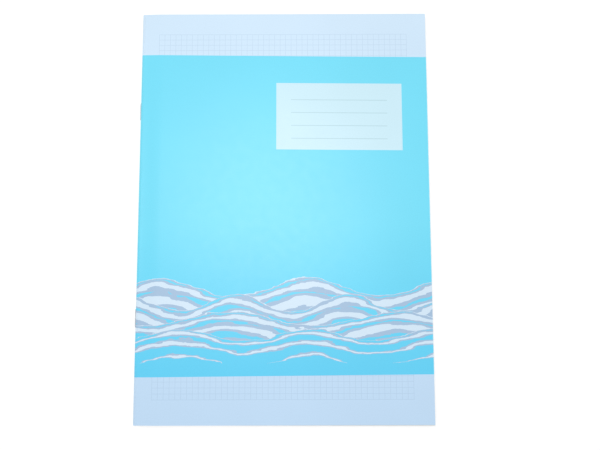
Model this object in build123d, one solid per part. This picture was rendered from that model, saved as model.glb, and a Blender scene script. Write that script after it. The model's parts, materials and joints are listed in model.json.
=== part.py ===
from build123d import *
import os

# A stapled exercise book lying closed: spine on the left (-X), head away (+Y), front cover up (+Z).
# Twelve sheets are folded once, nested in a folded card cover and held by two wire staples
# through the fold. Everything turns about one line, the spine axis, at half the book's thickness.

# Trimmed size of the closed book
BOOK_WIDTH = 210.0
BOOK_HEIGHT = 297.0

# Paper stock
SHEET_COUNT = 12
PAPER = 0.10
CARD = 0.25

# Air between the layers: pressed together in the fold, looser in the body of the book
FOLD_AIR = 0.015
BODY_AIR = 0.06

# Each leaf leaves its fold level, then eases over a shoulder to its place in the body
LEVEL = 1.0
SHOULDER = 14.0

# Slit between the end of a fold and the leaf that it carries
SEAM = 0.02

# Wire staples: width over the crown, length of each clenched end, and where they stand
WIRE = 0.5
STAPLE_WIDTH = 13.0
CLENCH = 5.0
WIRE_BEND = 0.3
WIRE_SIDES = 12
STAPLE_PITCH = 150.0

# Room round the wire: inside the innermost fold, in the pierced slits and under the crown
CLENCH_CLEAR = 0.10
HOLE_CLEAR = 0.06
CROWN_CLEAR = 0.02

# Radii of the nested folds about the spine axis, and half the thickness of the book's body
inner_fold_radius = WIRE / 2 + CLENCH_CLEAR
cover_inner_radius = inner_fold_radius + SHEET_COUNT * (PAPER + FOLD_AIR)
cover_outer_radius = cover_inner_radius + CARD
cover_body_offset = BODY_AIR / 2 + SHEET_COUNT * (PAPER + BODY_AIR)
body_half = cover_body_offset + CARD

# The origin is under the middle of the book, with the staples' crowns counted in its width
crown_reach = cover_outer_radius + CROWN_CLEAR + WIRE
overall_width = BOOK_WIDTH + CROWN_CLEAR + WIRE
spine_x = crown_reach - overall_width / 2
fore_edge_x = overall_width / 2
spine_z = max(body_half, cover_outer_radius)

# Staple legs and the square slits that they pierce
slit = WIRE + 2 * HOLE_CLEAR
leg_offset = (STAPLE_WIDTH - WIRE) / 2
staple_places = {"staple_head": STAPLE_PITCH / 2, "staple_tail": -STAPLE_PITCH / 2}
leg_places = [place + side * leg_offset for place in staple_places.values() for side in (-1, 1)]

spine_axis = Pos(spine_x, 0, spine_z)
mid_plane = Plane.XY.offset(spine_z)


def layer_radius(sheet):
    """Inner radius of a sheet's fold. Sheet 1 is the outermost, SHEET_COUNT the innermost."""
    return inner_fold_radius + (SHEET_COUNT - sheet) * (PAPER + FOLD_AIR)


def layer_offset(sheet):
    """Distance of a leaf's inner face from the mid plane, in the body of the book."""
    return BODY_AIR / 2 + (SHEET_COUNT - sheet) * (PAPER + BODY_AIR)


def upper_leaf(radius, offset, thickness):
    """A leaf or panel of the front half, from its fold to the fore edge, notched for the legs."""
    shoulder_end = LEVEL + SHOULDER
    inner_face = [
        (SEAM, radius),
        (LEVEL, radius),
        (shoulder_end, offset),
        (fore_edge_x - spine_x, offset),
    ]
    outer_face = [(x, z + thickness) for x, z in reversed(inner_face)]
    profile = make_face(Polyline(*inner_face, *outer_face, close=True))
    leaf = extrude(Plane.XZ * profile, BOOK_HEIGHT / 2, both=True)
    notch = Box(slit, slit, 4 * spine_z)
    for y in leg_places:
        leaf -= Pos(0, y, 0) * notch
    return spine_axis * leaf


def lower_leaf(radius, offset, thickness):
    """The matching leaf of the back half."""
    return mirror(upper_leaf(radius, offset, thickness), about=mid_plane)


def fold(radius, thickness):
    """The half-round fold between a front and a back leaf, pierced by the staples' legs."""
    outer = radius + thickness
    profile = make_face(
        [
            CenterArc((0, 0), outer, 90, 180),
            Line((0, -outer), (0, -radius)),
            CenterArc((0, 0), radius, 270, -180),
            Line((0, radius), (0, outer)),
        ]
    )
    tube = extrude(Plane.XZ * profile, BOOK_HEIGHT / 2, both=True)
    hole = Box(4 * outer, slit, slit)
    for y in leg_places:
        tube -= Pos(0, y, 0) * hole
    return spine_axis * tube


def staple():
    """Drawn wire: crown outside the spine, legs through the folds, ends clenched on the spine axis."""
    crown_x = -(cover_outer_radius + CROWN_CLEAR + WIRE / 2)
    clench_end = leg_offset - CLENCH
    path = FilletPolyline(
        (0, clench_end),
        (0, leg_offset),
        (crown_x, leg_offset),
        (crown_x, -leg_offset),
        (0, -leg_offset),
        (0, -clench_end),
        radius=WIRE_BEND,
    )
    section = Plane(origin=path @ 0, z_dir=path % 0) * RegularPolygon(WIRE / 2, WIRE_SIDES)
    return spine_axis * sweep(section, path=path)


def cover():
    """The card cover: front panel, spine fold and back panel."""
    return {
        "front_cover": upper_leaf(cover_inner_radius, cover_body_offset, CARD),
        "cover_spine": fold(cover_inner_radius, CARD),
        "back_cover": lower_leaf(cover_inner_radius, cover_body_offset, CARD),
    }


def sheets():
    """The nested sheets, each as a front leaf, its fold and a back leaf."""
    nodes = {}
    for sheet in range(1, SHEET_COUNT + 1):
        radius = layer_radius(sheet)
        offset = layer_offset(sheet)
        nodes[f"front_leaf_{sheet:02d}"] = upper_leaf(radius, offset, PAPER)
        nodes[f"sheet_fold_{sheet:02d}"] = fold(radius, PAPER)
        nodes[f"back_leaf_{sheet:02d}"] = lower_leaf(radius, offset, PAPER)
    return nodes


def staples():
    """The two staples, near the head and near the tail."""
    return {name: Pos(0, place, 0) * staple() for name, place in staple_places.items()}


os.makedirs("parts", exist_ok=True)
for node, solid in {**cover(), **sheets(), **staples()}.items():
    export_step(solid, f"parts/{node}.step")
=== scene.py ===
import json
import math

import bmesh
import bpy
from bpy.props import FloatProperty, FloatVectorProperty, IntProperty, PointerProperty
from mathutils import Matrix, Vector


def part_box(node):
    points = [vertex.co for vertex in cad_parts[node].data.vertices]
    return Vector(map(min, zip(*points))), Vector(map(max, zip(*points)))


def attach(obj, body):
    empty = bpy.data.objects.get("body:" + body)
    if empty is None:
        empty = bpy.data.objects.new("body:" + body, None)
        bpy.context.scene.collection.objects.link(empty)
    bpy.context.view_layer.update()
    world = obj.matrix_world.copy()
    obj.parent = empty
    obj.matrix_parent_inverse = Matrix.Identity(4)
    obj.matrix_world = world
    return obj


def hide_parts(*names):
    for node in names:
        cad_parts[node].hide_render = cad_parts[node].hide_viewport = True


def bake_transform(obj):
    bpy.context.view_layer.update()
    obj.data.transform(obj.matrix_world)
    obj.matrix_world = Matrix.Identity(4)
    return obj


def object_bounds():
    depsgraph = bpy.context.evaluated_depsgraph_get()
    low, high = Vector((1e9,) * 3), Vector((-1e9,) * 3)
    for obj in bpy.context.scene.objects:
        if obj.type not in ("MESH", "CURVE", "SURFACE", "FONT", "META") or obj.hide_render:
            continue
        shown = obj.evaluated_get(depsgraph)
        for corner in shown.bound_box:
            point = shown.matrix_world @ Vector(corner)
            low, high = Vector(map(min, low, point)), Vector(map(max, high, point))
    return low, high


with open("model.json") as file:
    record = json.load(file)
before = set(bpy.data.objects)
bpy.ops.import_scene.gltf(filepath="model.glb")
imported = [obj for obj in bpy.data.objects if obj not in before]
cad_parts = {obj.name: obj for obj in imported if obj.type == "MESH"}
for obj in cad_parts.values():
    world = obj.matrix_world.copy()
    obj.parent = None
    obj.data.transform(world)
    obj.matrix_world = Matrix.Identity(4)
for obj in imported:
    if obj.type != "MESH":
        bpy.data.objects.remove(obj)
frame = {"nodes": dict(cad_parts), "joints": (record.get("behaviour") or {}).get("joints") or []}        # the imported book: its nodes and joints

bl_info = {
    "name": "Stapled exercise book",
    "version": (1, 0, 0),
    "blender": (4, 5, 0),
    "location": "3D View > Sidebar > Book",
    "description": "Dresses a stapled exercise book with printed card, squared paper and bent wire",
    "category": "Object",
}

MM = 0.001
QUARTER_TURN = math.radians(90)

# Places read from the frame. The spine axis is the line that the leaves turn about.
CAD_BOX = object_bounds()
HINGES = {joint["name"]: Vector(joint["pos_m"]) for joint in frame["joints"]}
SPINE = HINGES["front_leaf_01_turn"]
SPINE_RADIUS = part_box("cover_spine")[1].z - SPINE.z
TAIL, HEAD = (corner.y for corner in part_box("front_cover"))
LEAF_HEIGHT = HEAD - TAIL
LEAF_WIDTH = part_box("front_cover")[1].x - SPINE.x
SHEETS = sum(name.startswith("sheet_fold_") for name in frame["nodes"])

# How finely the sheets are meshed: stations across and along, and how strongly those across gather at the
# fold. The front cover has the most, for the tight bend of its crease.
BACK_COVER_GRID = (48, 24, 0.9)
FRONT_COVER_GRID = (110, 24, 0.97)
LEAF_GRID = (28, 24, 0.7)
SPINE_STEPS = 24
FOLD_STEPS = 12
CUT_TOLERANCE = 1e-7
SHARP_ANGLE = math.radians(40)

# From this cosine on, a face lies on the outside or the inside of its sheet and not on a cut edge
FACING = 0.5

# Mesh attribute for the place on the flat sheet in mm, so that the print runs on round the folds
SHEET_PLACE = "sheet_mm"

# The slow waves of handled paper: the share that each has in their height, the lengths in mm in which it
# goes on by one radian along and across the sheet, backwards where negative, and its shift in radians
RIPPLES = ((0.3, 34.0, 70.0, 0.8), (0.2, 19.0, -50.0, 0.0))

# The waves of the cover print, back to front, in mm and radians: mean height of the crest above the tail,
# its rise and fall, its span, its shift across the cover, and the breadth of its strokes
WAVES = (
    (95.0, 6.5, 104.0, 0.4, 1.30),
    (84.0, 5.5, 79.0, 2.1, 1.15),
    (73.0, 5.0, 121.0, 4.4, 1.05),
    (62.0, 4.0, 91.0, 5.6, 0.95),
)

# How the waves are brushed: the heights in mm between which the strokes thin out towards the tail, the
# power of the depth that spaces them, so that they widen under the crest, and the shares of a stroke's
# breadth that take the grey and the light ink
WAVE_FADE = (42.0, 66.0)
STROKE_POWER = 0.6
STROKE_SHARES = (0.95, 0.45)

# Factors that draw out the grain of brushed ink across the cover, and that of rubbed print along the spine
BRUSH_GRAIN = (0.3, 1.0, 1.0)
RUB_GRAIN = (1.0, 0.12, 1.0)

# The range that noise mostly keeps to, and the depth of the fine tooth of all surfaces
NOISE_LOW, NOISE_HIGH = 0.3, 0.7
TOOTH_DEPTH = 0.02 * MM

# Inputs of a Mix node for colours, and its settings where it multiplies
MIX_FACTOR, MIX_BELOW, MIX_ABOVE = 0, 6, 7
MULTIPLIED = {"data_type": "RGBA", "blend_type": "MULTIPLY"}
WHITE = (1, 1, 1, 1)


def from_hex(code):
    """Linear colour of an sRGB hex value."""
    channels = [int(code[i:i + 2], 16) / 255 for i in (1, 3, 5)]
    return tuple(c / 12.92 if c <= 0.04045 else ((c + 0.055) / 1.055) ** 2.4 for c in channels)


def length(name, millimetres, description):
    """A length that a user may change, given in millimetres and kept in metres."""
    return FloatProperty(name=name, description=description, default=millimetres * MM, unit="LENGTH",
                         precision=5)


def colour(name, code, description):
    """A colour that a user may change, given as sRGB hex."""
    return FloatVectorProperty(name=name, description=description, default=from_hex(code), subtype="COLOR",
                               size=3, min=0.0, max=1.0)


def share(name, value, description):
    """A share between 0 and 1 that a user may change."""
    return FloatProperty(name=name, description=description, default=value, subtype="FACTOR", min=0.0,
                         max=1.0)


class CoverPrint(bpy.types.PropertyGroup):
    """The card cover and its print. Print places run from the middle of the spine and from the tail."""

    card: length("Card", 0.25, "Thickness of the cover card")
    lift: length("Lift", 0.2, "How far the front cover stands up at its fore edge")
    spring: length("Spring", 0.28, "How far the front cover springs up beside the spine")
    spring_reach: length("Spring reach", 14.0, "Stretch beside the spine in which the cover springs up")
    crease_start: length("Crease start", 0.3, "Distance from the cover's hinge to the start of its crease")
    crease_width: length("Crease width", 1.5, "Stretch in which the front cover bends when it opens")
    # The band's tint darkens from head to tail: painted shade, standing in for light that falls off towards
    # the tail
    ground_head: colour("Ground at head", "#D3EAFD", "Pale tint of the band at the head")
    shaded_ground_tail: colour("Ground at tail", "#C3DFF9", "Pale tint of the band at the tail")
    field_top: colour("Field at head", "#73DFF9", "Cyan of the field at its head")
    field_foot: colour("Field at tail", "#5FD2F8", "Deeper cyan of the field at its tail")
    field_tail: length("Field tail edge", 32.7, "Lower edge of the field at the spine")
    field_head: length("Field head edge", 265.9, "Upper edge of the field at the spine")
    field_even: length("Field even height", 140.0, "Height from which the field has its head tint")
    tail_rise: FloatProperty(
        name="Tail edge rise", default=0.008,
        description="Rise of the field's lower edge across the cover, from loose register")
    head_fall: FloatProperty(
        name="Head edge fall", default=0.011,
        description="Fall of the field's upper edge across the cover, from loose register")
    label: colour("Label", "#CDEDF9", "Pale panel for a name")
    label_left: length("Label left", 100.7, "Spine side of the label")
    label_bottom: length("Label bottom", 194.6, "Lower edge of the label")
    label_width: length("Label width", 91.8, "Width of the label")
    label_height: length("Label height", 49.7, "Height of the label")
    label_fall: FloatProperty(
        name="Label fall", default=0.0095,
        description="Fall of the label's edges and rules across the cover, from loose register")
    rule: colour("Rule", "#B4D6E0", "Writing rules on the label")
    rule_width: length("Rule width", 0.45, "Weight of a writing rule")
    rule_pitch: length("Rule pitch", 9.6, "Distance from rule to rule")
    rule_inset: length("Rule inset", 10.8, "Margin at both ends of a rule")
    rule_first: length("First rule", 8.35, "Height of the lowest rule above the label's lower edge")
    rules: IntProperty(name="Rules", description="Number of writing rules", default=4, min=1)
    square: colour("Squares", "#7F9FC0", "Ink of the fine squares that show in the bands")
    square_ink: share("Square ink", 0.25, "How strongly the ink of the squares covers")
    square_line: length("Square line", 0.28, "Weight of the squares' lines")
    inside: colour("Inside", "#E3E8EA", "Bare inside of the card, which shows where print is rubbed off")
    core: colour("Core", "#DDE6EA", "Raw core of the card on its cut edges")
    rim_wear: length("Rim wear", 0.5, "Depth of the rubbed rim along the cut edges")
    ridge_wear: length("Ridge wear", 1.6, "Reach of the rubbed ridge on both sides of the spine's middle")
    wear: share("Wear", 0.6, "How much of the print is rubbed off at the rims and on the ridge")
    crest: colour("Crest", "#D6EAFA", "Light strokes of the wave print")
    swell: colour("Swell", "#A6C2DE", "Grey-lilac strokes of the wave print")


class PaperMake(bpy.types.PropertyGroup):
    """The folded sheets and their squares."""

    sheet: length("Sheet", 0.10, "Thickness of one sheet")
    level: length("Level", 1.0, "Stretch beside the fold in which a sheet lies level")
    shoulder: length("Shoulder", 14.0, "Stretch from the level part to a sheet's place in the pile")
    ripple: length("Ripple", 0.30, "Height of the slow waves that handled paper takes on")
    ripple_start: length("Ripple start", 20.0, "Distance from the fold at which the slow waves start")
    ripple_full: length("Ripple full", 120.0, "Distance from the fold at which they have their full height")
    slip: length("Slip", 0.6, "How far the pile slips past the front cover at the tail of the fore edge")
    page: colour("Page", "#E6E9E6", "Wood-free writing paper")
    # The cut edges are tinted lighter than the page: painted light on the pile's sides, which get little of
    # the lamp
    edge: colour("Cut edge", "#F1F3F1", "Raw cut edges of the sheets")
    square: colour("Squares", "#9FBFD3", "Printed squares")
    square_pitch: length("Square pitch", 4.06, "Side of one square")
    square_line: length("Square line", 0.25, "Weight of the squares' lines")
    squares_across: IntProperty(name="Squares across", description="Number across a page", default=45, min=1)
    squares_along: IntProperty(name="Squares along", description="Number up a page", default=65, min=1)
    side_margin: length("Side margin", 14.1, "Blank margin from the fold to the first square")
    tail_margin: length("Tail margin", 17.4, "Blank margin from the tail to the first square")


class StapleMake(bpy.types.PropertyGroup):
    """The wire staples."""

    wire_colour: colour("Wire", "#B9BCC0", "Zinc-coated steel wire")
    patch: length("Zinc patch", 0.8, "Size of the dull patches in the zinc")
    clench: length("Clench", 5.0, "Length of each leg that is bent over inside")
    bend: length("Bend", 0.3, "Radius of the wire's bends, at its middle")
    clear: length("Clearance", 0.06, "Room around the wire in the slits that it passes through")
    sides: IntProperty(name="Sides", description="Sides of the wire's round section", default=16, min=6)
    bend_steps: IntProperty(name="Bend steps", description="Steps of a quarter bend", default=6, min=2)


class StageMake(bpy.types.PropertyGroup):
    """The floor, the light and the camera."""

    floor: colour("Floor", "#F2F2F2", "White paper sweep")
    floor_size: length("Floor size", 6000, "Side of the floor")
    floor_drop: length("Floor drop", 0.5, "Room under the closed book for its folded-back cover")
    floor_glow: share("Floor glow", 0.50, "White that the camera sees under the book, before the light")
    sweep_glow: share("Sweep glow", 0.63, "White that the camera sees far away, before the light")
    sweep_near: length("Sweep near", 250, "Distance from the book from which the floor whitens")
    sweep_far: length("Sweep far", 800, "Distance from the book from which the floor is all white")
    floor_share: share("Floor share", 0.60, "Share of the light and shadow that shows")
    sky: share("Sky", 0.67, "Strength of the even light from all around")
    softbox_power: FloatProperty(name="Softbox power", description="Power of the softbox", default=1.33,
                                 unit="POWER")
    softbox_size: length("Softbox size", 360, "Breadth of the round softbox")
    softbox_at: FloatVectorProperty(name="Softbox place", description="Middle of the softbox", subtype="XYZ",
                                    unit="LENGTH", default=(-0.05, 0.085, 0.604))
    lens: FloatProperty(name="Lens", description="Focal length in millimetres on a 36 mm frame",
                        default=33.6, unit="CAMERA")
    camera_at: FloatVectorProperty(name="Camera place", description="Where the camera stands", subtype="XYZ",
                                   unit="LENGTH", default=(0.01116, -0.0485, 0.4041))
    camera_turn: FloatVectorProperty(name="Camera turn", description="Turn of the camera from straight down",
                                     subtype="EULER",
                                     default=[math.radians(angle) for angle in (5.63, -0.09, -0.16)])
    camera_near: length("Camera near", 10, "Distance from which on the camera sees")


class BookSettings(bpy.types.PropertyGroup):
    """All the values of the book and its stage."""

    cover: PointerProperty(name="Cover", description="The card cover and its print", type=CoverPrint)
    paper: PointerProperty(name="Paper", description="The folded sheets", type=PaperMake)
    staple: PointerProperty(name="Staples", description="The wire staples", type=StapleMake)
    stage: PointerProperty(name="Stage", description="Floor, light and camera", type=StageMake)


# Shapes

def smooth_step(low, high, value):
    """0 below low, 1 above high and an even S curve between."""
    t = min(max((value - low) / (high - low), 0.0), 1.0)
    return t * t * (3 - 2 * t)


def place_on_sheet(place, radius):
    """Where a point lies on its flat sheet in mm: across from the fold's middle, and up from the tail."""
    reach = place.x - SPINE.x
    rise = place.z - SPINE.z
    if reach < 0:
        across = radius * math.atan2(rise, -reach)
    else:
        across = math.copysign(reach + radius * QUARTER_TURN, rise)
    return Vector((across / MM, (place.y - TAIL) / MM, 0.0))


def ripple(place, paper):
    """Slow waves away from the fold, shared by the whole pile so that its sheets stay apart."""
    reach = place.x - SPINE.x
    wave = 0.0
    for part, along, across, shift in RIPPLES:
        wave += part * (1 + math.sin(place.y / (along * MM) + reach / (across * MM) + shift))
    return paper.ripple * wave * smooth_step(paper.ripple_start, paper.ripple_full, reach)


def flat(reach):
    """The rise of a sheet that lies on the pile."""
    return 0.0


def leg_slits(staple):
    """The slits for the staples' legs: the stretches that they take along the fold, and half their width."""
    spans = []
    for node in ("staple_tail", "staple_head"):
        low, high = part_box(node)
        wire = high.z - low.z
        spans.append((low.y - staple.clear, low.y + wire + staple.clear))
        spans.append((high.y - wire - staple.clear, high.y + staple.clear))
    return spans, wire / 2 + staple.clear


def open_slits(bm, spans, planes, in_reach):
    """Cuts out what lies in the legs' way: the faces in a slit's stretch along the fold whose middles are in
    reach of the leg, after a cut along the slits' ends and along the given planes."""
    cuts = [((0, y, 0), (0, 1, 0)) for span in spans for y in span] + planes
    for place, normal in cuts:
        bmesh.ops.bisect_plane(bm, geom=bm.verts[:] + bm.edges[:] + bm.faces[:], dist=CUT_TOLERANCE,
                               plane_co=place, plane_no=normal)
    cut_out = []
    for face in bm.faces:
        middle = face.calc_center_median()
        if in_reach(middle) and any(low < middle.y < high for low, high in spans):
            cut_out.append(face)
    bmesh.ops.delete(bm, geom=cut_out, context="FACES")


def thicken(bm, thickness):
    """Gives a skin its thickness on the side that its faces point to."""
    bmesh.ops.solidify(bm, geom=bm.faces[:], thickness=-thickness)


def lay_sheet(side, grid, level, body, thickness, settings, rise=flat, slit=False):
    """A leaf or cover panel. side is 1 above the fold and -1 below it, and level and body are the distances
    of its inner face from the fold's middle, beside the fold and in the pile. rise gives how far the sheet
    stands off the pile at a reach from the fold, and slit makes room for the staples' legs."""
    across, along, gather = grid
    paper = settings.paper
    bm = bmesh.new()
    # The grid is one unit wide and long, about the origin
    bmesh.ops.create_grid(bm, x_segments=across, y_segments=along, size=0.5)
    for vert in bm.verts:
        u, v = vert.co.x + 0.5, vert.co.y + 0.5
        vert.co.x = SPINE.x + LEAF_WIDTH * ((1 - gather) * u + gather * u ** 3)
        vert.co.y = TAIL + LEAF_HEIGHT * v
    if slit:
        spans, half = leg_slits(settings.staple)
        edge = SPINE.x + half
        open_slits(bm, spans, [((edge, 0, 0), (1, 0, 0))], lambda middle: middle.x < edge)
    height_share = (SPINE.z + side * body) / (2 * SPINE.z)
    for vert in bm.verts:
        reach = vert.co.x - SPINE.x
        climb = smooth_step(paper.level, paper.level + paper.shoulder, reach)
        vert.co.z = SPINE.z + side * (level + (body - level) * climb)
        vert.co.z += ripple(vert.co, paper) * height_share + rise(reach)
    if side < 0:
        bmesh.ops.reverse_faces(bm, faces=bm.faces[:])
    thicken(bm, thickness)
    return bm


def slip_askew(bm, slip):
    """Draws a sheet's fore edge towards the tail, as in a pile that was not squared up under its cover."""
    shear = Matrix.Shear("YZ", 4, (-slip / LEAF_WIDTH, 0.0))
    bmesh.ops.transform(bm, matrix=shear, space=Matrix.Translation(-SPINE), verts=bm.verts[:])


def roll_fold(radius, thickness, steps, staple):
    """A half-round fold from the lower leaf round to the upper one, slit for the staples' legs. radius is
    that of its outside."""
    bm = bmesh.new()
    inner = radius - thickness
    ends = [bm.verts.new((SPINE.x, y, SPINE.z - inner)) for y in (TAIL, HEAD)]
    edge = bm.edges.new(ends)
    bmesh.ops.spin(bm, geom=ends + [edge], cent=SPINE, axis=(0, 1, 0), dvec=(0, 0, 0),
                   angle=2 * QUARTER_TURN, steps=steps, use_merge=False, use_duplicate=False)
    for face in bm.faces:
        face.normal_update()
        if face.normal.dot(face.calc_center_median() - Vector((SPINE.x, 0, SPINE.z))) < 0:
            face.normal_flip()
    spans, half = leg_slits(staple)
    levels = [((0, 0, SPINE.z + level), (0, 0, 1)) for level in (-half, half)]
    open_slits(bm, spans, levels, lambda middle: abs(middle.z - SPINE.z) < half)
    thicken(bm, thickness)
    return bm


def bend_wire(node, staple):
    """A staple as one bent round wire: clenched tip, leg, crown, leg, clenched tip, all in one flat loop."""
    low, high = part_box(node)
    radius = (high.z - low.z) / 2
    width = high.y - low.y - 2 * radius
    depth = high.x - low.x - 2 * radius
    bend = staple.bend
    place = Vector((high.x - radius, low.y + radius + staple.clench, SPINE.z))
    heading = Vector((0, -1, 0))
    quarter = Matrix.Rotation(-QUARTER_TURN, 3, "Z")
    bm = bmesh.new()
    stand = Matrix.Translation(place) @ Matrix.Rotation(QUARTER_TURN, 4, "X")
    bmesh.ops.create_circle(bm, cap_ends=True, radius=radius, segments=staple.sides, matrix=stand)
    ring = bm.edges[:]
    tip, leg, crown = staple.clench - bend, depth - 2 * bend, width - 2 * bend
    runs = (tip, leg, crown, leg, tip)
    for number, run in enumerate(runs, 1):
        grown = bmesh.ops.extrude_edge_only(bm, edges=ring)["geom"]
        moved = [part for part in grown if isinstance(part, bmesh.types.BMVert)]
        bmesh.ops.translate(bm, verts=moved, vec=heading * run)
        ring = [part for part in grown if isinstance(part, bmesh.types.BMEdge)]
        place = place + heading * run
        if number < len(runs):
            right = quarter @ heading
            turned = bmesh.ops.spin(bm, geom=ring, cent=place + right * bend, axis=(0, 0, 1), dvec=(0, 0, 0),
                                    angle=-QUARTER_TURN, steps=staple.bend_steps, use_merge=False,
                                    use_duplicate=False)
            ring = [part for part in turned["geom_last"] if isinstance(part, bmesh.types.BMEdge)]
            place = place + (heading + right) * bend
            heading = right
    bmesh.ops.contextual_create(bm, geom=ring)
    return bm


def make_piece(bm, name, radius, materials, pick):
    """Makes a named object of a finished bmesh. pick gives each face the number of its material."""
    bmesh.ops.recalc_face_normals(bm, faces=bm.faces[:])
    layer = bm.verts.layers.float_vector.new(SHEET_PLACE)
    for vert in bm.verts:
        vert[layer] = place_on_sheet(vert.co, radius)
    for face in bm.faces:
        face.smooth = True
        face.material_index = pick(face)
    mesh = bpy.data.meshes.new(name)
    bm.to_mesh(mesh)
    bm.free()
    mesh.set_sharp_from_angle(angle=SHARP_ANGLE)
    for material in materials:
        mesh.materials.append(material)
    piece = bpy.data.objects.new(name, mesh)
    bpy.context.scene.collection.objects.link(piece)
    return piece


def outward(face):
    """How far a face points out of its folded sheet: 1 on the outside, -1 on the inside, 0 on a cut edge."""
    middle = face.calc_center_median()
    reach = min(middle.x - SPINE.x, 0.0)
    out = Vector((reach, 0, middle.z - SPINE.z))
    return face.normal.dot(out.normalized())


def pick_card(face):
    """Print outside, bare card inside, raw core on the cut edges."""
    out = outward(face)
    return 0 if out > FACING else 1 if out < -FACING else 2


def pick_page(face):
    """Squares on both sides, paper painted lighter on the cut edges."""
    return 0 if abs(outward(face)) > FACING else 1


# Materials

def add(tree, kind, links=None, **settings):
    """Adds a node with its settings. links gives its inputs, as a value, a socket, or a node whose first
    output in use is meant."""
    node = tree.nodes.new(kind)
    for name, value in settings.items():
        setattr(node, name, value)
    for key, value in (links or {}).items():
        if isinstance(value, bpy.types.Node):
            value = next(output for output in value.outputs if output.enabled)
        if isinstance(value, bpy.types.NodeSocket):
            tree.links.new(value, node.inputs[key])
        else:
            node.inputs[key].default_value = value
    return node


def new_material(name):
    """A material without nodes, and its node tree."""
    material = bpy.data.materials.new(name)
    material.use_nodes = True
    material.node_tree.nodes.clear()
    return material, material.node_tree


def sheet_places(tree):
    """The place on the flat sheet in mm: as a vector, across from the fold's middle, up from the tail."""
    place = add(tree, "ShaderNodeAttribute", attribute_name=SHEET_PLACE).outputs["Vector"]
    parts = add(tree, "ShaderNodeSeparateXYZ", {"Vector": place}).outputs
    return place, parts["X"], parts["Y"]


def where_all(tree, *masks):
    """A mask that is the product of others, full where all of them are."""
    result, *others = masks
    for other in others:
        result = add(tree, "ShaderNodeMath", {0: result, 1: other}, operation="MULTIPLY")
    return result


def panel(tree, places, low, high):
    """A mask of an upright rectangle in the print, from its lower corner to its upper one."""
    masks = []
    for place, start, end in zip(places, low, high):
        reach = {0: place, 1: (start + end) / 2, 2: (end - start) / 2}
        masks.append(add(tree, "ShaderNodeMath", reach, operation="COMPARE"))
    return where_all(tree, *masks)


def squares(tree, places, paper, line):
    """A mask of the printed squares, with lines of a weight in mm."""
    pitch = paper.square_pitch / MM
    corner = (paper.side_margin / MM, paper.tail_margin / MM)
    counts = (paper.squares_across, paper.squares_along)
    lines = []
    for place, start in zip(places, corner):
        shifted = add(tree, "ShaderNodeMath", {0: place, 1: start}, operation="SUBTRACT")
        folded = add(tree, "ShaderNodeMath", {0: shifted, 1: pitch / 2}, operation="PINGPONG")
        lines.append(add(tree, "ShaderNodeMath", {0: folded, 1: line / 2}, operation="LESS_THAN"))
    either = add(tree, "ShaderNodeMath", {0: lines[0], 1: lines[1]}, operation="MAXIMUM")
    low = [start - line / 2 for start in corner]
    high = [start + count * pitch + line / 2 for start, count in zip(corner, counts)]
    return where_all(tree, either, panel(tree, places, low, high))


def lay_inks(tree, ground, inks):
    """Lays inks over a ground, each with its own mask. An ink is a colour, or a node where it changes."""
    result = ground
    for mask, ink in inks:
        ink = ink if isinstance(ink, bpy.types.Node) else (*ink, 1)
        layers = {MIX_FACTOR: mask, MIX_BELOW: result, MIX_ABOVE: ink}
        result = add(tree, "ShaderNodeMix", layers, data_type="RGBA")
    return result


def graded_ink(tree, along, low, high, tail, head):
    """An ink that goes from one colour to another between two heights above the tail, in mm."""
    rise = add(tree, "ShaderNodeMapRange", {"Value": along, "From Min": low, "From Max": high})
    return lay_inks(tree, (*tail, 1), [(rise, head)])


def grain(tree, place, size, low, high, detail=2.0):
    """Noise with grains of a size, in the place's own unit, spread between two values."""
    noise = add(tree, "ShaderNodeTexNoise", {"Vector": place, "Scale": 1 / size, "Detail": detail})
    spread = {"Value": noise, "From Min": NOISE_LOW, "From Max": NOISE_HIGH, "To Min": low, "To Max": high}
    return add(tree, "ShaderNodeMapRange", spread)


def field_mask(tree, reach, along, cover):
    """A mask of the cyan field, between two edges that slope a little across the cover."""
    masks = []
    for slope, edge, side in ((cover.head_fall, cover.field_head, "LESS_THAN"),
                              (-cover.tail_rise, cover.field_tail, "GREATER_THAN")):
        line = add(tree, "ShaderNodeMath", {0: reach, 1: slope, 2: along}, operation="MULTIPLY_ADD")
        masks.append(add(tree, "ShaderNodeMath", {0: line, 1: edge / MM}, operation=side))
    return where_all(tree, *masks)


def brushed_wave(tree, across, along, wave, ragged, taper):
    """Masks of one wave of the print: its whole body, its grey strokes and its light strokes. The strokes
    follow the crest, widen with their depth under it, and thin out where taper is low."""
    height, swing, span, shift, stroke = wave
    pace = 2 * math.pi / span
    turn = add(tree, "ShaderNodeMath", {0: across, 1: pace, 2: shift}, operation="MULTIPLY_ADD")
    sway = add(tree, "ShaderNodeMath", {0: turn}, operation="SINE")
    crest = add(tree, "ShaderNodeMath", {0: sway, 1: swing, 2: height}, operation="MULTIPLY_ADD")
    depth = add(tree, "ShaderNodeMath", {0: crest, 1: along}, operation="SUBTRACT")
    rough = add(tree, "ShaderNodeMath", {0: depth, 1: ragged}, operation="ADD")
    body = add(tree, "ShaderNodeMath", {0: rough, 1: 0.0}, operation="GREATER_THAN")
    widened = add(tree, "ShaderNodeMath", {0: rough, 1: STROKE_POWER}, operation="POWER")
    across_stroke = add(tree, "ShaderNodeMath", {0: widened, 1: stroke}, operation="PINGPONG")
    masks = [body]
    for part in STROKE_SHARES:
        limit = add(tree, "ShaderNodeMath", {0: taper, 1: part * stroke}, operation="MULTIPLY")
        inked = add(tree, "ShaderNodeMath", {0: across_stroke, 1: limit}, operation="LESS_THAN")
        masks.append(where_all(tree, body, inked))
    return masks


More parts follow.
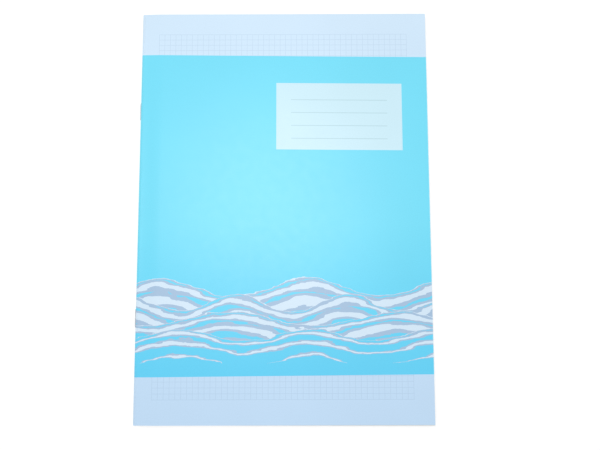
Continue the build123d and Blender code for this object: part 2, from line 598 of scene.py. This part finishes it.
def wave_inks(tree, place, across, along, field, cyan, cover):
    """The inks of the brushed waves at the foot of the field, each with its mask."""
    pulled = add(tree, "ShaderNodeVectorMath", {0: place, 1: BRUSH_GRAIN}, operation="MULTIPLY")
    ragged = grain(tree, pulled, size=7.0, low=-1.6, high=1.6, detail=5.0)
    brush = grain(tree, pulled, size=11.0, low=0.55, high=1.25, detail=3.0)
    low, high = WAVE_FADE
    fade = add(tree, "ShaderNodeMapRange", {"Value": along, "From Min": low, "From Max": high})
    taper = add(tree, "ShaderNodeMath", {0: brush, 1: fade}, operation="MULTIPLY")
    inks = []
    for wave in WAVES:
        masks = brushed_wave(tree, across, along, wave, ragged, taper)
        for mask, ink in zip(masks, (cyan, cover.swell, cover.crest)):
            inks.append((where_all(tree, field, mask), ink))
    return inks


def label_inks(tree, across, along, cover):
    """The inks of the label, each with its mask: its panel, then its rules, which all fall a little across
    the cover."""
    line = add(tree, "ShaderNodeMath", {0: across, 1: cover.label_fall, 2: along}, operation="MULTIPLY_ADD")
    places = (across, line)
    left, right = cover.label_left / MM, (cover.label_left + cover.label_width) / MM
    bottom = cover.label_bottom / MM + left * cover.label_fall
    top = bottom + cover.label_height / MM
    inset, half_rule = cover.rule_inset / MM, cover.rule_width / 2 / MM
    inks = [(panel(tree, places, (left, bottom), (right, top)), cover.label)]
    for number in range(cover.rules):
        height = bottom + (cover.rule_first + number * cover.rule_pitch) / MM
        rule = panel(tree, places, (left + inset, height - half_rule), (right - inset, height + half_rule))
        inks.append((rule, cover.rule))
    return inks


def rubbed_print(tree, place, reach, along, cover):
    """A mask of the worn print: a thin broken rim along the cut edges, and a wider one on the spine."""
    breadth = (LEAF_WIDTH + SPINE_RADIUS * QUARTER_TURN) / MM
    near = along
    for value, end in ((along, LEAF_HEIGHT / MM), (reach, breadth)):
        to_end = add(tree, "ShaderNodeMath", {0: end, 1: value}, operation="SUBTRACT")
        near = add(tree, "ShaderNodeMath", {0: near, 1: to_end}, operation="MINIMUM")
    rubbed = []
    for value, depth in ((near, cover.rim_wear), (reach, cover.ridge_wear)):
        fall = {"Value": value, "From Max": depth / MM, "To Min": 1.0, "To Max": 0.0}
        rubbed.append(add(tree, "ShaderNodeMapRange", fall))
    worn = add(tree, "ShaderNodeMath", {0: rubbed[0], 1: rubbed[1]}, operation="MAXIMUM")
    pulled = add(tree, "ShaderNodeVectorMath", {0: place, 1: RUB_GRAIN}, operation="MULTIPLY")
    streaks = grain(tree, pulled, size=0.5, low=-cover.wear, high=cover.wear, detail=6.0)
    return where_all(tree, worn, streaks)


def printed_card(name, cover, paper):
    """Coated card, offset printed: flat clean inks under a satin coating that veils them softly where light
    falls, with a fine tooth and a slow unevenness of the ink."""
    material, tree = new_material(name)
    place, across, along = sheet_places(tree)
    reach = add(tree, "ShaderNodeMath", {0: across}, operation="ABSOLUTE")
    # The ground darkens from head to tail as painted shade, where the light falls off
    ground = graded_ink(tree, along, 0.0, LEAF_HEIGHT / MM, cover.shaded_ground_tail, cover.ground_head)
    lattice = squares(tree, (reach, along), paper, cover.square_line / MM)
    field = field_mask(tree, reach, along, cover)
    tail, even = cover.field_tail / MM, cover.field_even / MM
    cyan = graded_ink(tree, along, tail, even, cover.field_foot, cover.field_top)
    printed = lay_inks(tree, ground, [
        (where_all(tree, lattice, cover.square_ink), cover.square),
        (field, cyan),
        *wave_inks(tree, place, across, along, field, cyan, cover),
        *label_inks(tree, across, along, cover),
        (rubbed_print(tree, place, reach, along, cover), cover.inside),
    ])
    drift = grain(tree, place, size=70.0, low=0.985, high=1.015)
    mottle = grain(tree, place, size=0.9, low=0.985, high=1.015)
    density = add(tree, "ShaderNodeMath", {0: drift, 1: mottle}, operation="MULTIPLY")
    layers = {MIX_FACTOR: 1.0, MIX_BELOW: printed, MIX_ABOVE: density}
    shade = add(tree, "ShaderNodeMix", layers, **MULTIPLIED)
    # The tooth is drawn several times as coarse as it is, so that it shows
    tooth = grain(tree, place, size=0.45, low=0.0, high=1.0, detail=4.0)
    bump = add(tree, "ShaderNodeBump", {"Height": tooth, "Strength": 0.12, "Distance": TOOTH_DEPTH})
    satin = grain(tree, place, size=6.0, low=0.31, high=0.36)
    card = add(tree, "ShaderNodeBsdfPrincipled", {"Base Color": shade, "Roughness": satin,
                                                  "Normal": bump, "IOR": 1.5})
    add(tree, "ShaderNodeOutputMaterial", {"Surface": card})
    return material


def plain_stock(name, tint, spread, fibre, roughness):
    """Bare stock: a soft white, dull all over, with a cloudy formation and short fibres. spread is how far
    each of them darkens it, and fibre the size of the fibres in mm."""
    material, tree = new_material(name)
    place, _, _ = sheet_places(tree)
    cloud = grain(tree, place, size=14.0, low=1 - spread, high=1.0)
    # The fibres are drawn several times as thick as they are, so that they show
    fibres = grain(tree, place, size=fibre, low=1 - spread, high=1.0, detail=6.0)
    tone = add(tree, "ShaderNodeMath", {0: cloud, 1: fibres}, operation="MULTIPLY")
    layers = {MIX_FACTOR: 1.0, MIX_BELOW: (*tint, 1), MIX_ABOVE: tone}
    shade = add(tree, "ShaderNodeMix", layers, **MULTIPLIED)
    bump = add(tree, "ShaderNodeBump", {"Height": fibres, "Strength": 0.2, "Distance": TOOTH_DEPTH})
    stock = add(tree, "ShaderNodeBsdfPrincipled", {"Base Color": shade, "Roughness": roughness,
                                                   "Normal": bump, "IOR": 1.45})
    add(tree, "ShaderNodeOutputMaterial", {"Surface": stock})
    return material


def squared_paper(name, paper):
    """Wood-free writing paper, printed with pale squares: matt, slightly cloudy, with a fine tooth."""
    material, tree = new_material(name)
    place, across, along = sheet_places(tree)
    reach = add(tree, "ShaderNodeMath", {0: across}, operation="ABSOLUTE")
    lattice = squares(tree, (reach, along), paper, paper.square_line / MM)
    printed = lay_inks(tree, (*paper.page, 1), [(lattice, paper.square)])
    cloud = grain(tree, place, size=12.0, low=0.975, high=1.0, detail=4.0)
    layers = {MIX_FACTOR: 1.0, MIX_BELOW: printed, MIX_ABOVE: cloud}
    shade = add(tree, "ShaderNodeMix", layers, **MULTIPLIED)
    # The tooth is drawn several times as coarse as it is, so that it shows
    tooth = grain(tree, place, size=0.35, low=0.0, high=1.0, detail=5.0)
    bump = add(tree, "ShaderNodeBump", {"Height": tooth, "Strength": 0.15, "Distance": TOOTH_DEPTH})
    page = add(tree, "ShaderNodeBsdfPrincipled", {"Base Color": shade, "Roughness": 0.82,
                                                  "Normal": bump, "IOR": 1.45})
    add(tree, "ShaderNodeOutputMaterial", {"Surface": page})
    return material


def galvanised_wire(name, staple):
    """Zinc-coated steel wire, drawn through a die: bright grey metal with dull patches."""
    material, tree = new_material(name)
    place = add(tree, "ShaderNodeTexCoord").outputs["Object"]
    patch = add(tree, "ShaderNodeTexNoise", {"Vector": place, "Scale": 1 / staple.patch, "Detail": 3.0})
    range_of_noise = {"Value": patch, "From Min": NOISE_LOW, "From Max": NOISE_HIGH}
    dull = add(tree, "ShaderNodeMapRange", {**range_of_noise, "To Min": 0.26, "To Max": 0.44})
    tone = add(tree, "ShaderNodeMapRange", {**range_of_noise, "To Min": 1.0, "To Max": 0.86})
    layers = {MIX_FACTOR: 1.0, MIX_BELOW: (*staple.wire_colour, 1), MIX_ABOVE: tone}
    shade = add(tree, "ShaderNodeMix", layers, **MULTIPLIED)
    bump = add(tree, "ShaderNodeBump", {"Height": patch, "Strength": 0.15, "Distance": TOOTH_DEPTH})
    wire = add(tree, "ShaderNodeBsdfPrincipled", {"Base Color": shade, "Metallic": 1.0, "Roughness": dull,
                                                  "Normal": bump})
    add(tree, "ShaderNodeOutputMaterial", {"Surface": wire})
    return material


def cover_materials(settings):
    """Print, bare inside and raw core of the cover card, made for the first piece that asks for them."""
    cover = settings.cover
    names = ("offset_printed_coated_card", "uncoated_card_inside", "cut_card_edge")
    if names[0] not in bpy.data.materials:
        printed_card(names[0], cover, settings.paper)
        plain_stock(names[1], cover.inside, spread=0.04, fibre=0.8, roughness=0.8)
        plain_stock(names[2], cover.core, spread=0.06, fibre=0.3, roughness=0.9)
    return [bpy.data.materials[name] for name in names]


def page_materials(paper):
    """Squared face of the pages, and their cut edge, tinted lighter than the face as painted light."""
    return [squared_paper("squared_writing_paper", paper),
            plain_stock("cut_paper_edge_painted_light", paper.edge, spread=0.06, fibre=0.3, roughness=0.9)]


# Operators

class BOOK_OT_back_cover(bpy.types.Operator):
    """Lay the printed back panel of the cover under the pile"""

    bl_idname = "exercise_book.back_cover"
    bl_label = "Back Cover"

    def execute(self, context):
        settings = context.scene.exercise_book
        card = settings.cover.card
        low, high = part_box("back_cover")
        level, body = SPINE.z - high.z, SPINE.z - low.z - card
        bm = lay_sheet(-1, BACK_COVER_GRID, level, body, card, settings)
        slip_askew(bm, settings.paper.slip)
        piece = make_piece(bm, "back_cover_card", SPINE_RADIUS, cover_materials(settings), pick_card)
        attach(piece, "back_cover")
        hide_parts("back_cover")
        return {"FINISHED"}


class BOOK_OT_front_cover(bpy.types.Operator):
    """Lay the printed front panel of the cover on the pile, springing up and finely meshed beside the spine
    """

    bl_idname = "exercise_book.front_cover"
    bl_label = "Front Cover"

    def execute(self, context):
        settings = context.scene.exercise_book
        cover = settings.cover
        low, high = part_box("front_cover")
        level, body = low.z - SPINE.z, high.z - cover.card - SPINE.z

        def rise(reach):
            spring = smooth_step(settings.paper.level, cover.spring_reach, reach)
            return cover.spring * spring + cover.lift * (reach / LEAF_WIDTH) ** 3

        bm = lay_sheet(1, FRONT_COVER_GRID, level, body, cover.card, settings, rise=rise)
        piece = make_piece(bm, "front_cover_card", SPINE_RADIUS, cover_materials(settings), pick_card)
        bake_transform(piece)
        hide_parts("front_cover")
        return {"FINISHED"}


class BOOK_OT_cover_spine(bpy.types.Operator):
    """Roll the cover's spine round the folds"""

    bl_idname = "exercise_book.cover_spine"
    bl_label = "Cover Spine"

    def execute(self, context):
        settings = context.scene.exercise_book
        bm = roll_fold(SPINE_RADIUS, settings.cover.card, SPINE_STEPS, settings.staple)
        piece = make_piece(bm, "cover_spine_card", SPINE_RADIUS, cover_materials(settings), pick_card)
        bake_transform(piece)
        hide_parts("cover_spine")
        return {"FINISHED"}


class BOOK_OT_sheets(bpy.types.Operator):
    """Fold the squared sheets and nest them: a front leaf, a fold and a back leaf each"""

    bl_idname = "exercise_book.sheets"
    bl_label = "Sheets"

    def execute(self, context):
        settings = context.scene.exercise_book
        sheet = settings.paper.sheet
        materials = page_materials(settings.paper)
        for number in range(1, SHEETS + 1):
            parts = ("sheet_fold", "front_leaf", "back_leaf")
            fold, front, back = (f"{part}_{number:02d}" for part in parts)
            radius = (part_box(fold)[1].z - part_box(fold)[0].z) / 2
            level = radius - sheet
            # An inner leaf drops from its fold to its place in the pile, and an outer one climbs. One that
            # would drop by less than a tenth of its thickness lies level.
            low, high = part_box(front)
            drops = low.z - SPINE.z < level - sheet / 10
            body = (low.z if drops else high.z - sheet) - SPINE.z
            for side, node in ((1, front), (-1, back)):
                bm = lay_sheet(side, LEAF_GRID, level, body, sheet, settings, slit=True)
                slip_askew(bm, settings.paper.slip)
                leaf = make_piece(bm, f"squared_{node}", radius, materials, pick_page)
                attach(leaf, node)
                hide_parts(node)
            bm = roll_fold(radius, sheet, FOLD_STEPS, settings.staple)
            crease = make_piece(bm, f"squared_{fold}", radius, materials, pick_page)
            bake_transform(crease)
            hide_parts(fold)
        return {"FINISHED"}


class BOOK_OT_staples(bpy.types.Operator):
    """Bend the wire staples through the folds"""

    bl_idname = "exercise_book.staples"
    bl_label = "Staples"

    def execute(self, context):
        staple = context.scene.exercise_book.staple
        wire = galvanised_wire("galvanised_steel_wire", staple)
        for node in ("staple_head", "staple_tail"):
            bm = bend_wire(node, staple)
            piece = make_piece(bm, f"wire_{node}", SPINE_RADIUS, [wire], lambda face: 0)
            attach(piece, "stapled_fold")
            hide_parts(node)
        return {"FINISHED"}


class BOOK_OT_stage(bpy.types.Operator):
    """Set up the white floor, the soft light and the camera"""

    bl_idname = "exercise_book.stage"
    bl_label = "Stage"

    def execute(self, context):
        scene = context.scene
        scene.view_settings.view_transform = "Standard"
        stage = scene.exercise_book.stage
        floor = self.lay_floor(stage)
        softbox = self.hang_softbox(stage)
        camera = self.set_camera(stage)
        for thing in (floor, softbox, camera):
            scene.collection.objects.link(thing)
        scene.world = self.light_room(stage)
        scene.camera = camera
        return {"FINISHED"}

    def lay_floor(self, stage):
        """A floor a little under the book."""
        bm = bmesh.new()
        bmesh.ops.create_grid(bm, x_segments=1, y_segments=1, size=stage.floor_size / 2)
        bmesh.ops.translate(bm, verts=bm.verts[:], vec=(0, 0, CAD_BOX[0].z - stage.floor_drop))
        mesh = bpy.data.meshes.new("floor")
        bm.to_mesh(mesh)
        bm.free()
        mesh.materials.append(self.paper_sweep(stage))
        return bpy.data.objects.new("floor", mesh)

    def hang_softbox(self, stage):
        """A round softbox that looks at the middle of the book."""
        lamp = bpy.data.lights.new("softbox", "AREA")
        lamp.shape = "DISK"
        lamp.size = stage.softbox_size
        lamp.energy = stage.softbox_power
        softbox = bpy.data.objects.new("softbox", lamp)
        softbox.location = stage.softbox_at
        softbox.rotation_euler = Vector(stage.softbox_at).to_track_quat("Z", "Y").to_euler()
        return softbox

    def set_camera(self, stage):
        """The camera at the photograph's place."""
        data = bpy.data.cameras.new("camera")
        data.lens = stage.lens
        data.clip_start = stage.camera_near
        camera = bpy.data.objects.new("camera", data)
        camera.location = stage.camera_at
        camera.rotation_euler = stage.camera_turn
        return camera

    def light_room(self, stage):
        """Even light from all around, which the camera sees as white."""
        world = bpy.data.worlds.new("studio")
        world.use_nodes = True
        tree = world.node_tree
        tree.nodes.clear()
        light = {"Value": self.seen(tree), "To Min": stage.sky, "To Max": 1.0}
        strength = add(tree, "ShaderNodeMapRange", light)
        glow = add(tree, "ShaderNodeBackground", {"Color": WHITE, "Strength": strength})
        add(tree, "ShaderNodeOutputWorld", {"Surface": glow})
        return world

    def seen(self, tree):
        """1 on rays that show the stage itself: straight to the camera, mirrored or through glass."""
        path = add(tree, "ShaderNodeLightPath").outputs
        ray = path["Is Camera Ray"]
        for other in ("Is Glossy Ray", "Is Transmission Ray"):
            ray = add(tree, "ShaderNodeMath", {0: ray, 1: path[other]}, operation="MAXIMUM")
        return ray

    def paper_sweep(self, stage):
        """Paper sweep: white to the camera, with a faint share of the light and shadow that falls on it."""
        material, tree = new_material("paper_sweep")
        plain = add(tree, "ShaderNodeBsdfDiffuse", {"Color": (*stage.floor, 1)})
        grey = stage.floor_share
        faint = add(tree, "ShaderNodeBsdfDiffuse", {"Color": (grey, grey, grey, 1)})
        place = add(tree, "ShaderNodeTexCoord").outputs["Object"]
        distance = add(tree, "ShaderNodeVectorMath", {0: place}, operation="LENGTH")
        whiter = {"Value": distance, "From Min": stage.sweep_near, "From Max": stage.sweep_far,
                  "To Min": stage.floor_glow, "To Max": stage.sweep_glow}
        strength = add(tree, "ShaderNodeMapRange", whiter)
        glow = add(tree, "ShaderNodeEmission", {"Color": WHITE, "Strength": strength})
        shown = add(tree, "ShaderNodeAddShader", {0: faint, 1: glow})
        sweep = add(tree, "ShaderNodeMixShader", {0: self.seen(tree), 1: plain, 2: shown})
        add(tree, "ShaderNodeOutputMaterial", {"Surface": sweep})
        return material


class BOOK_PT_panel(bpy.types.Panel):
    """Buttons for the book's pieces and fields for its values"""

    bl_idname = "BOOK_PT_panel"
    bl_label = "Exercise Book"
    bl_space_type = "VIEW_3D"
    bl_region_type = "UI"
    bl_category = "Book"

    def draw(self, context):
        layout = self.layout
        for operator in OPERATORS:
            layout.operator(operator.bl_idname)
        settings = context.scene.exercise_book
        for group in (settings.cover, settings.paper, settings.staple, settings.stage):
            box = layout.box()
            for name in group.__annotations__:
                box.prop(group, name)


OPERATORS = (BOOK_OT_back_cover, BOOK_OT_front_cover, BOOK_OT_cover_spine, BOOK_OT_sheets, BOOK_OT_staples,
             BOOK_OT_stage)
CLASSES = (CoverPrint, PaperMake, StapleMake, StageMake, BookSettings, *OPERATORS, BOOK_PT_panel)


def register():
    for cls in CLASSES:
        bpy.utils.register_class(cls)
    bpy.types.Scene.exercise_book = PointerProperty(
        name="Exercise book", description="Values of the book and its stage", type=BookSettings)


def unregister():
    del bpy.types.Scene.exercise_book
    for cls in reversed(CLASSES):
        bpy.utils.unregister_class(cls)


def main():
    register()
    bpy.ops.exercise_book.back_cover()
    bpy.ops.exercise_book.front_cover()
    bpy.ops.exercise_book.cover_spine()
    bpy.ops.exercise_book.sheets()
    bpy.ops.exercise_book.staples()
    bpy.ops.exercise_book.stage()


if __name__ == "__main__":
    main()
